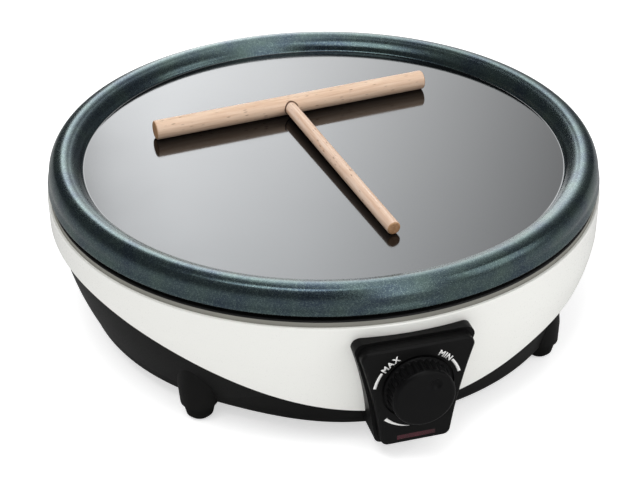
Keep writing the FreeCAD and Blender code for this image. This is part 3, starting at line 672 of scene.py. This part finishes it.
@dataclass
class HousingBand:
    """The glossy white band, with a soft-edged lower rim that rises in an arch on either side."""

    radius: float = 167.0
    wall: float = 2.4
    top: float = 88.2
    bend: float = 62.0
    curve: float = 190.0
    curve_foot: tuple[float, float] = (155.8, 13.0)
    front_edge: float = 22.0
    side_edge: float = 68.2
    right_dip: float = 5.5
    right_turn: float = 314.0
    right_spread: float = 11.0
    neck: float = 2.0
    neck_foot: float = 84.4
    neck_round: float = 1.0
    shoulder: float = 0.8
    flange_radius: float = 157.2
    segments: int = 384
    wall_steps: int = 30
    lip_steps: int = 9

    def reach(self, height: Array) -> Array:
        """Find the outer radius at each height: upright above the bend, a circular arc below it.

        Args:
            height: heights above the table.

        Returns:
            The radius at each of them.
        """
        centre = arc_centre(np.array(self.curve_foot), np.array((self.radius, self.bend)), self.curve, 1)
        bowed = centre[0] + np.sqrt(self.curve ** 2 - (height - centre[1]) ** 2)
        return np.where(height >= self.bend, self.radius, bowed)

    def edge(self, angle: Array) -> Array:
        """Find the lower edge's height round the band.

        It is front edge + rise (1.7 s^2 - 0.7 s^4) with s = x / radius, less a shallow dip at the
        front right. As s depends on the height in turn, the formula is applied four times.

        Args:
            angle: angles round the band.

        Returns:
            The height at each of them.
        """
        turn = np.degrees(angle) % 360.0
        dip = self.right_dip * np.exp(-((turn - self.right_turn) / self.right_spread) ** 2)
        rise = self.side_edge - self.front_edge
        height = np.full_like(angle, self.front_edge)
        for _ in range(4):
            share = self.reach(height) * np.cos(angle) / self.radius
            height = self.front_edge + rise * (1.7 * share ** 2 - 0.7 * share ** 4) - dip
        return height

    def build(self) -> None:
        """Make one closed ring: recessed neck, outer wall down, round lip, inner wall up, top flange."""
        angle = circle(self.segments)
        low = self.edge(angle) + self.wall / 2
        inset, shoulder = self.radius - self.neck, self.shoulder
        neck = profile((inset - self.neck_round, self.top, self.neck_round, -1), (inset, self.top - self.neck_round, 2),
                       (inset, self.neck_foot + 0.3), (inset + 0.3, self.neck_foot),
                       (self.radius - shoulder, self.neck_foot, shoulder, -1),
                       (self.radius, self.neck_foot - shoulder))[:-1]
        share = np.linspace(0.0, 1.0, self.wall_steps)[None, :]
        outer_z = (self.neck_foot - shoulder) * (1 - share) + low * share
        lip = np.linspace(0.0, math.pi, self.lip_steps)[None, 1:-1]
        lip_z = low - self.wall / 2 * np.sin(lip)
        lip_r = self.reach(low) - self.wall / 2 + self.wall / 2 * np.cos(lip)
        inner_top = self.top - self.wall
        inner_z = low * (1 - share) + inner_top * share
        flange = np.array([(self.flange_radius, inner_top), (self.flange_radius, self.top)])
        ones = np.ones((self.segments, 1))
        radius = np.hstack((ones * neck[:, 0], self.reach(outer_z), lip_r, self.reach(inner_z) - self.wall,
                            ones * flange[:, 0]))
        height = np.hstack((ones * neck[:, 1], outer_z, lip_z, inner_z, ones * flange[:, 1]))
        band = surface("band_dressed", around(radius, height, angle), tube=True)
        middle = face_centres(band)
        # Painted shade: the recess faces take the grey-brown finish, the white plastic darkened where the rim shades
        # it.
        recess = (middle[:, 2] > self.neck_foot) & (np.hypot(middle[:, 0], middle[:, 1]) < self.radius - 0.6)
        # Painted shade: faces in the band's top 1.2 mm take black, standing for the dark shaded gap under the rim.
        seat(band, Body.BASE, "band", (BAND_WHITE, BAND_RECESS_SHADE, SEAL_BLACK_AND_GAP_SHADE), "housing_band",
             chosen=np.where(middle[:, 2] > self.top - 1.2, 2, recess))


@dataclass
class BowlSkirt:
    """The lower lip of the bowl, which is fuller towards the front right, and the bosses of its feet.

    The lip's section is a lens of (radius, height) over the bowl's lower corner, and push gives the
    share of its fullness by which each point moves out and down.
    """

    section: tuple[tuple[float, float], ...] = (
        (154.9, 34.0), (153.0, 28.0), (150.4, 21.0), (147.9, 14.6), (144.4, 10.1), (141.5, 10.0), (141.0, 13.5),
        (146.0, 16.5), (152.0, 28.0))
    push: tuple[tuple[float, float], ...] = (
        (0.0, 0.0), (0.45, 0.0), (0.85, 0.1), (1.0, 0.75), (1.2, 1.0), (0.2, 0.6), (0.0, 0.0), (0.0, 0.0), (0.0, 0.0))
    corner_curve: float = 6.0
    proud: float = 0.15
    out: float = 3.4
    down: float = 2.2
    span: tuple[float, float, float, float] = (230.0, 264.0, 312.0, 345.0)
    segments: int = 360
    boss_place: float = 103.9
    boss: tuple[float, float, float] = (10.9, 13.2, 14.4)
    boss_heights: tuple[float, float, float] = (9.5, 22.0, 42.0)
    boss_round: float = 0.5
    boss_lean: float = 0.96
    boss_segments: int = 64

    def swell(self, angle: Array) -> Array:
        """Find the lip's fullness round the bowl: smooth steps up from span 0 to 1 and down from 2 to 3.

        Args:
            angle: angles round the bowl.

        Returns:
            A share from 0 to 1 at each of them.
        """
        turn = np.degrees(angle) % 360.0
        rise = np.clip((turn - self.span[0]) / (self.span[1] - self.span[0]), 0, 1)
        fall = np.clip((self.span[3] - turn) / (self.span[3] - self.span[2]), 0, 1)
        both = np.minimum(rise, fall)
        return both * both * (3 - 2 * both)

    def lip(self) -> None:
        """Lay a lens-shaped ring over the bowl's lower corner, pushed out and down by its fullness."""
        angle = circle(self.segments)
        full = self.swell(angle)
        bowl, push = np.array(self.section), np.array(self.push)
        edge = arc(self.section[3], self.section[4], self.corner_curve, -1, 6)
        share = np.linspace(0.0, 1.0, len(edge))[:, None]
        mixed = push[3] * (1 - share) + push[4] * share
        bowl, push = np.vstack((bowl[:3], edge, bowl[5:])), np.vstack((push[:3], mixed, push[5:]))
        radius = bowl[None, :, 0] + self.proud + full * self.out * push[None, :, 0]
        height = bowl[None, :, 1] - full * self.down * push[None, :, 1]
        ring = surface("bowl_lip", around(radius, height, angle), tube=True, crease=50.0)
        seat(ring, Body.BASE, "body_black", (BOWL_BLACK,))

    def build(self) -> None:
        """Make the lip, then one cone per foot that widens upwards and leans inwards into the bowl."""
        self.lip()
        low, wide, top = zip(self.boss, self.boss_heights)
        soft = self.boss_round
        outline = profile((0.0, low[1]), (low[0] - soft, low[1], soft, -1), (low[0], low[1] + soft), wide,
                          top, (0.0, top[1]))
        radius, height = outline.T[:, None, :]
        upright = around(radius, height, circle(self.boss_segments))
        place = self.boss_place * np.interp(height, (low[1], top[1]), (1.0, self.boss_lean))
        for number, (right, back) in enumerate(((1, 1), (-1, 1), (-1, -1), (1, -1)), start=1):
            lean = np.stack((right * place, back * place, 0 * place), axis=-1)
            cone = surface(f"foot_boss_{number}", upright + lean)
            seat(cone, Body.BASE, "body_black", (BOWL_BLACK,))


@dataclass
class ControlKnob:
    """The dial: a moulded grip with flutes round its side, a soft front edge and a finger dimple."""

    base: float = -176.1
    height: float = 49.8
    radius: float = 17.4
    skirt: float = 18.9
    length: float = 13.0
    bore_radius: float = 3.02
    bore_depth: float = 9.0
    clearance: float = 0.4
    soft_edge: float = 2.1
    flutes: int = 30
    flute_depth: float = 0.95
    dimple_reach: float = 10.2
    dimple_turn: float = 35.0
    dimple_sphere: float = 5.0
    dimple_lift: float = 3.4
    segments: int = 480

    def build(self) -> None:
        """Turn the outline about the shaft, press the flutes into its side and the dimple into its face.

        A flute lowers the radius by depth * (half + half cosine of flutes * angle)^1.6, fading over
        the skirt and the front edge. The dimple is the part of a sphere that dips under the face.
        """
        gap, face_edge = self.clearance, self.radius - 1.9
        face = profile((face_edge, self.length, 44), (0.0, self.length - 0.3))
        side = profile((0.0, self.bore_depth), (self.bore_radius, self.bore_depth), (self.bore_radius, gap),
                       (self.skirt, gap), (self.skirt, 1.5, 0.4, -1), (self.skirt - 0.4, 1.9, 3),
                       (self.radius + 0.75, 2.1, 16), (self.radius + 0.1, self.length - 2.0, self.soft_edge, 1),
                       (face_edge, self.length))[:-1]
        outline = np.concatenate((side, face))
        angle = circle(self.segments)
        radius = np.repeat(outline[None, :, 0], self.segments, axis=0)
        rise = np.repeat(outline[None, :, 1], self.segments, axis=0)
        fade = np.clip((rise - 1.9) / 0.5, 0, 1) * np.clip((self.length - 2.4 - rise) / 1.4, 0, 1)
        fade *= radius > self.radius - 1.0
        scallop = (0.5 + 0.5 * np.cos(self.flutes * angle)) ** 1.6
        radius = radius - self.flute_depth * fade * scallop
        across, up = radius * np.cos(angle), radius * np.sin(angle)
        aim = math.radians(90.0 - self.dimple_turn)
        away = np.hypot(across - self.dimple_reach * math.cos(aim), up - self.dimple_reach * math.sin(aim))
        sphere = self.length + self.dimple_lift - np.sqrt(np.clip(self.dimple_sphere ** 2 - away ** 2, 0, None))
        inside = (away < self.dimple_sphere) & (rise > self.length - 1.0)
        rise = np.where(inside, np.minimum(rise, sphere), rise)
        points = np.stack((across, self.base - rise, self.height + up), axis=-1)
        knob = surface("knob_dressed", points, crease=50.0)
        seat(knob, Body.DIAL, "knob_black", (KNOB_BLACK,), "control_knob")


@dataclass
class DialPrint:
    """The white print round the knob: MIN and MAX on a circle, two short arcs and a tapered one.

    A word holds its text and the turns of its first and last letters, a stroke its turns and its
    widths at either end. Turns are in degrees, clockwise from the top.
    """

    centre: tuple[float, float] = (-0.4, 48.6)
    face: float = -177.5
    proud: float = 0.05
    radius: float = 24.2
    letter_height: float = 3.5
    letter_weight: float = 0.032
    words: tuple[tuple[str, float, float], ...] = (("MIN", 33.0, 45.5), ("MAX", -48.5, -30.0))
    strokes: tuple[tuple[float, float, float, float], ...] = (
        (51.5, 74.0, 1.5, 1.7), (-55.0, -79.0, 1.5, 1.7), (-134.0, -171.0, 2.1, 0.1))
    stroke_steps: int = 24

    def place(self, across: Array, out: Array, turn: float | Array) -> Array:
        """Turn flat points about the dial.

        Args:
            across: places along the circle's tangent.
            out: distances from the centre.
            turn: degrees clockwise from the top.

        Returns:
            Their places on the cover's face, with a last axis of three.
        """
        angle = np.radians(turn)
        x = self.centre[0] + out * np.sin(angle) + across * np.cos(angle)
        z = self.centre[1] + out * np.cos(angle) - across * np.sin(angle)
        return np.stack((x, np.full_like(x, self.face), z), axis=-1)

    def letter(self, sign: str, turn: float) -> tuple[Array, list]:
        """Make one letter from the built-in font.

        Args:
            sign: the letter.
            turn: where its middle stands.

        Returns:
            Its flat points and its faces.
        """
        curve = bpy.data.curves.new("dial_letter", "FONT")
        curve.body = sign
        curve.offset = self.letter_weight
        holder = bpy.data.objects.new("dial_letter", curve)
        mesh = bpy.data.meshes.new_from_object(holder)
        flat = np.empty(len(mesh.vertices) * 3)
        mesh.vertices.foreach_get("co", flat)
        flat = flat.reshape(-1, 3)
        faces = [list(face.vertices) for face in mesh.polygons]
        tall = np.ptp(flat[:, 1])
        flat = flat * self.letter_height / tall
        across = flat[:, 0] - (flat[:, 0].min() + flat[:, 0].max()) / 2
        out = self.radius - self.letter_height / 2 + flat[:, 1] - flat[:, 1].min()
        bpy.data.objects.remove(holder)
        bpy.data.curves.remove(curve)
        bpy.data.meshes.remove(mesh)
        return self.place(across, out, turn), faces

    def stroke(self, start: float, end: float, wide_start: float, wide_end: float) -> tuple[Array, list]:
        """Make one printed arc: a ribbon on the circle whose width runs evenly from start to end.

        Args:
            start: turn where it begins.
            end: turn where it ends.
            wide_start: width at the start.
            wide_end: width at the end.

        Returns:
            Its flat points and its faces.
        """
        share = np.linspace(0.0, 1.0, self.stroke_steps)[:, None]
        turn = start + (end - start) * share + np.zeros((1, 2))
        half = (wide_start + (wide_end - wide_start) * share) / 2
        out = self.radius + half * np.array([[-1.0, 1.0]])
        points = self.place(np.zeros_like(out), out, turn)
        return points.reshape(-1, 3), grid_faces(self.stroke_steps, 2, False, False)

    def build(self) -> None:
        """Join all the print into one thin piece on the cover's face."""
        points, faces, count = [], [], 0
        parts = [self.stroke(*stroke) for stroke in self.strokes]
        for word, first, last in self.words:
            parts += [self.letter(sign, turn) for sign, turn in zip(word, np.linspace(first, last, len(word)))]
        for places, quads in parts:
            points.append(places)
            faces += [[number + count for number in quad] for quad in quads]
            count += len(places)
        ink = solid("dial_print", np.concatenate(points), faces)
        work = bmesh.new()
        work.from_mesh(ink.data)
        bmesh.ops.reverse_faces(work, faces=[face for face in work.faces if face.normal.y > 0])
        work.to_mesh(ink.data)
        work.free()
        thick = ink.modifiers.new("ink", "SOLIDIFY")
        thick.thickness = self.proud * MM
        thick.offset = 1.0
        seat(ink, Body.BASE, "band", (PRINT_WHITE,))


@dataclass
class Spreader:
    """The wooden T: a thick bar with a thinner handle set square into its middle, lying on the face."""

    centre: tuple[float, float] = (-4.1, 56.2)
    turn: float = 6.3
    rest: float = 98.15
    bar_length: float = 182.0
    bar_radius: float = 6.0
    handle_length: float = 160.0
    handle_radius: float = 4.0
    handle_shift: float = -2.8
    soft_end: float = 1.1
    socket_gap: float = 0.3
    socket_width: float = 0.4
    segments: int = 64

    def rod(self, name: str, first: float, last: float, radius: float, heading: float, drop: float,
            finishes: Sequence[Finish], node: str) -> None:
        """Make one rod with softened ends.

        Around its own axis a point lies at (s, r cos a, r sin a), where r follows a quarter circle
        at each end. Then the rod is dipped by drop and turned to its heading.

        Args:
            name: the piece's name.
            first: where the rod starts along its axis, from the middle of the bar.
            last: where it ends.
            radius: its radius.
            heading: direction of its axis in degrees from +X.
            drop: angle in degrees by which the far end sinks.
            finishes: its long-grain and its end-grain finish.
            node: the node that it stands for.
        """
        soft = self.soft_end
        outline = profile((first, 0.0, 5), (first, radius - soft, soft, -1), (first + soft, radius, 40),
                          (last - soft, radius, soft, -1), (last, radius - soft, 5), (last, 0.0))
        angle = circle(self.segments)
        along, out = outline[None, :, 0] + 0 * angle, outline[None, :, 1]
        side, up = out * np.cos(angle), out * np.sin(angle)
        dip, lie = math.radians(drop), math.radians(heading)
        far, lift = along * math.cos(dip) + up * math.sin(dip), up * math.cos(dip) - along * math.sin(dip)
        piece = surface(name, self.laid(far, side, lift, lie))
        middle = face_centres(piece)
        reach = (middle[:, 0] - self.centre[0]) * math.cos(lie) + (middle[:, 1] - self.centre[1]) * math.sin(lie)
        ends = (reach < first + 0.3) | (reach > last * math.cos(dip) - 0.5)
        seat(piece, Body.SPREADER, "beech", finishes, node, chosen=ends)

    def laid(self, along: Array, side: Array, up: Array, lie: float) -> Array:
        """Lay points on the plate, at the height of the bar's axis.

        Args:
            along: places along the rod's axis.
            side: places across it.
            up: places above it.
            lie: the axis' angle from +X in radians.

        Returns:
            Their places, with a last axis of three.
        """
        x = self.centre[0] + along * math.cos(lie) - side * math.sin(lie)
        y = self.centre[1] + along * math.sin(lie) + side * math.cos(lie)
        return np.stack((x, y, self.rest + self.bar_radius + up), axis=-1)

    def socket(self) -> None:
        """Draw a dark ring round the handle as a thin closed tube that follows the bar's round side: painted shade
        where the handle enters the bar.

        Its middle line lies at the handle's radius r + 0.3 about the handle's axis, and along that
        axis at sqrt(R^2 - (r sin t)^2) for the bar's radius R.
        """
        turn, small = circle(self.segments), circle(10).T
        reach = self.handle_radius + self.socket_gap + self.socket_width * np.cos(small)
        side, up = reach * np.cos(turn), reach * np.sin(turn)
        along = np.sqrt(self.bar_radius ** 2 - (up * 0.98) ** 2) + self.socket_width * np.sin(small)
        ring = surface("handle_socket_shade_ring", self.laid(along, side, up, math.radians(self.turn - 90.0)), tube=True)
        seat(ring, Body.SPREADER, "beech", (BEECH_SOCKET_SHADE,))

    def build(self) -> None:
        """Lay the bar across and the handle towards the cook, its far end resting on the face."""
        half = self.bar_length / 2
        slope = math.degrees(math.asin((self.bar_radius - self.handle_radius) / self.handle_length))
        self.rod("bar_dressed", -half, half, self.bar_radius, self.turn, 0.0, (BEECH_BAR, BEECH_END),
                 "spreader_bar")
        lie = math.radians(self.turn)
        place = (self.centre[0] + self.handle_shift * math.cos(lie), self.centre[1] + self.handle_shift * math.sin(lie))
        moved = replace(self, centre=place)
        moved.rod("handle_dressed", 0.0, self.handle_length, self.handle_radius, self.turn - 90.0, slope,
                  (BEECH_HANDLE, BEECH_END), "spreader_handle")
        moved.socket()


# Studio


@dataclass(frozen=True)
class Studio:
    """The photograph's camera, a white floor and soft light.

    The camera was fitted to the outlines in the photograph and then turned by half a degree about
    the vertical, which brings the control box nearer to its place; azimuth 0 looks along +Y. A
    softbox holds its name, place, side and power.
    """

    eye: tuple[float, float, float] = (-0.22562, -0.77811, 0.5391)
    azimuth: float = math.radians(16.0)
    pitch: float = 0.558
    roll: float = -0.0066
    lens_mm: float = 85.285
    sensor_mm: float = 36.0
    far_clip: float = 20.0
    floor_reach: float = 3.0
    floor_glow: float = 0.55
    floor_mirrored: float = 0.56
    floor_bounce: float = 0.32
    softbox_level: float = 5.8
    dark_level: float = 0.03
    horizon_level: float = 0.35
    ambient: float = 0.62
    softbox_fade: tuple[tuple[float, str], ...] = (
        (0.36, "000000"), (0.38, "9c9c9c"), (0.39, "d2d2d2"), (0.41, "f0f0f0"), (0.445, "ffffff"), (0.52, "ebebeb"),
        (0.60, "c2c2c2"), (0.70, "808080"), (0.78, "404040"), (0.90, "101010"))
    softbox_arc: tuple[tuple[float, str], ...] = (
        (0.0, "bcbcbc"), (0.09, "e7e7e7"), (0.14, "ffffff"), (0.17, "ffffff"), (0.20, "f4f4f4"), (0.22, "dddddd"),
        (0.28, "c0c0c0"), (0.36, "b8b8b8"), (0.75, "c8c8c8"), (0.90, "d8d8d8"), (1.0, "c0c0c0"))
    softboxes: tuple[tuple[str, tuple[float, float, float], float, float], ...] = (
        ("key_softbox", (-0.5, -0.5, 1.9), 1.0, 13.5), ("fill_softbox", (1.3, -0.9, 0.9), 0.9, 5.5))
    aim: tuple[float, float, float] = (0.0, 0.0, 0.06)

    def build(self) -> None:
        """Make the camera, the floor, the world and the lamps."""
        self.camera()
        self.floor()
        self.world()
        self.lamps()

    def camera(self) -> None:
        """Place the camera: forward from azimuth and pitch, then a small roll about forward."""
        data = bpy.data.cameras.new("photo_camera")
        data.lens = self.lens_mm
        data.sensor_width = self.sensor_mm
        data.clip_end = self.far_clip
        shot = bpy.data.objects.new("photo_camera", data)
        bpy.context.scene.collection.objects.link(shot)
        flat = math.cos(self.pitch)
        forward = Vector((math.sin(self.azimuth) * flat, math.cos(self.azimuth) * flat, -math.sin(self.pitch)))
        right = forward.cross(Vector((0.0, 0.0, 1.0))).normalized()
        up = right.cross(forward)
        turned_right = right * math.cos(self.roll) + up * math.sin(self.roll)
        turned_up = turned_right.cross(forward)
        axes = Matrix((turned_right, turned_up, -forward)).transposed()
        shot.matrix_world = Matrix.Translation(self.eye) @ axes.to_4x4()
        bpy.context.scene.camera = shot

    def floor(self) -> None:
        """Lay a pale floor that keeps the object's shadow and shows white to the camera."""
        reach = self.floor_reach
        corners = [(-reach, -reach, 0.0), (reach, -reach, 0.0), (reach, reach, 0.0), (-reach, reach, 0.0)]
        mesh = bpy.data.meshes.new("studio_floor")
        mesh.from_pydata(corners, [], [(0, 1, 2, 3)])
        floor = bpy.data.objects.new("studio_floor", mesh)
        bpy.context.scene.collection.objects.link(floor)
        # White studio paper: matt, with a glow of its own towards the camera and less in mirrors.
        paper = bpy.data.materials.new("white_paper_floor")
        paper.use_nodes = True
        tree = paper.node_tree
        tree.nodes.clear()
        matt = add_node(tree, "BsdfDiffuse", {"Color": linear_colour("f7f7f7")})
        glow = add_node(tree, "Emission", {"Color": grey(1.0), "Strength": self.floor_glow})
        both = add_node(tree, "AddShader", links={0: matt, 1: glow})
        dim = add_node(tree, "BsdfDiffuse", {"Color": grey(self.floor_mirrored)})
        bounce = add_node(tree, "Emission", {"Color": grey(1.0), "Strength": self.floor_bounce})
        lit = add_node(tree, "AddShader", links={0: matt, 1: bounce})
        path = add_node(tree, "LightPath")
        seen = add_node(tree, "MixShader", links={0: path.outputs["Is Camera Ray"], 1: lit, 2: both})
        pick = add_node(tree, "MixShader", links={0: path.outputs["Is Glossy Ray"], 1: seen, 2: dim})
        add_node(tree, "OutputMaterial", links={"Surface": pick})
        mesh.materials.append(paper)

    def world(self) -> None:
        """White to the camera and a plain ambient light; glossy surfaces see the studio round the table.

        That studio is a low white horizon and one long softbox, which is brightest behind the table,
        arches over it to the front and fades to both sides, so that black gloss shows a soft gradient.
        """
        world = bpy.data.worlds.new("white_studio")
        bpy.context.scene.world = world
        world.use_nodes = True
        tree = world.node_tree
        tree.nodes.clear()
        heading = add_node(tree, "TexCoord").outputs["Generated"]
        split = add_node(tree, "SeparateXYZ", links={"Vector": heading})
        side = add_node(tree, "MapRange", {"From Min": -0.3, "From Max": 0.7}, {"Value": split.outputs["X"]})
        across = add_node(tree, "ValToRGB", links={"Fac": side}, stops=self.softbox_fade)
        climb = add_node(tree, "Math", links={0: split.outputs["Z"], 1: split.outputs["Y"]}, operation="ARCTAN2")
        share = add_node(tree, "Math", {1: 1.0 / math.pi}, {0: climb}, operation="MULTIPLY")
        over = add_node(tree, "ValToRGB", links={"Fac": share}, stops=self.softbox_arc)
        card = add_node(tree, "Math", links={0: across, 1: over}, operation="MULTIPLY")
        bright = add_node(tree, "Math", {1: self.softbox_level}, {0: card}, operation="MULTIPLY")
        backdrop = add_node(tree, "MapRange", {"From Min": 0.02, "From Max": 0.20,
                                                         "To Min": self.horizon_level, "To Max": self.dark_level},
                            {"Value": split.outputs["Z"]}, interpolation_type="SMOOTHSTEP")
        studio = add_node(tree, "Math", links={0: bright, 1: backdrop}, operation="ADD")
        path = add_node(tree, "LightPath")
        ambient = add_node(tree, "Mix", {"A": self.ambient, "B": 1.0},
                           {"Factor": path.outputs["Is Camera Ray"]}, data_type="FLOAT")
        strength = add_node(tree, "Mix", links={"Factor": path.outputs["Is Glossy Ray"], "A": ambient,
                                                          "B": studio}, data_type="FLOAT")
        back = add_node(tree, "Background", {"Color": grey(1.0)}, {"Strength": strength})
        add_node(tree, "OutputWorld", links={"Surface": back})

    def lamps(self) -> None:
        """Hang a large soft key over the left shoulder and a weaker fill on the right."""
        for name, place, size, power in self.softboxes:
            data = bpy.data.lights.new(name, "AREA")
            data.shape = "SQUARE"
            data.size = size
            data.energy = power
            lamp = bpy.data.objects.new(name, data)
            bpy.context.scene.collection.objects.link(lamp)
            toward = (Vector(self.aim) - Vector(place)).to_track_quat("-Z", "Y")
            lamp.matrix_world = Matrix.Translation(place) @ toward.to_matrix().to_4x4()


def main() -> None:
    """Load the frame, build and dress every piece, then set the studio."""
    logging.basicConfig(level=logging.INFO, format="%(name)s: %(message)s")
    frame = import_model()
    dress_frame(frame["nodes"])
    for piece in (CookingPlate(), HousingBand(), BowlSkirt(), ControlKnob(), DialPrint(), Spreader()):
        log.info("building %s", type(piece).__name__)
        piece.build()
    Studio().build()
    bpy.context.scene.view_settings.view_transform = "Standard"


if __name__ == "__main__":
    main()
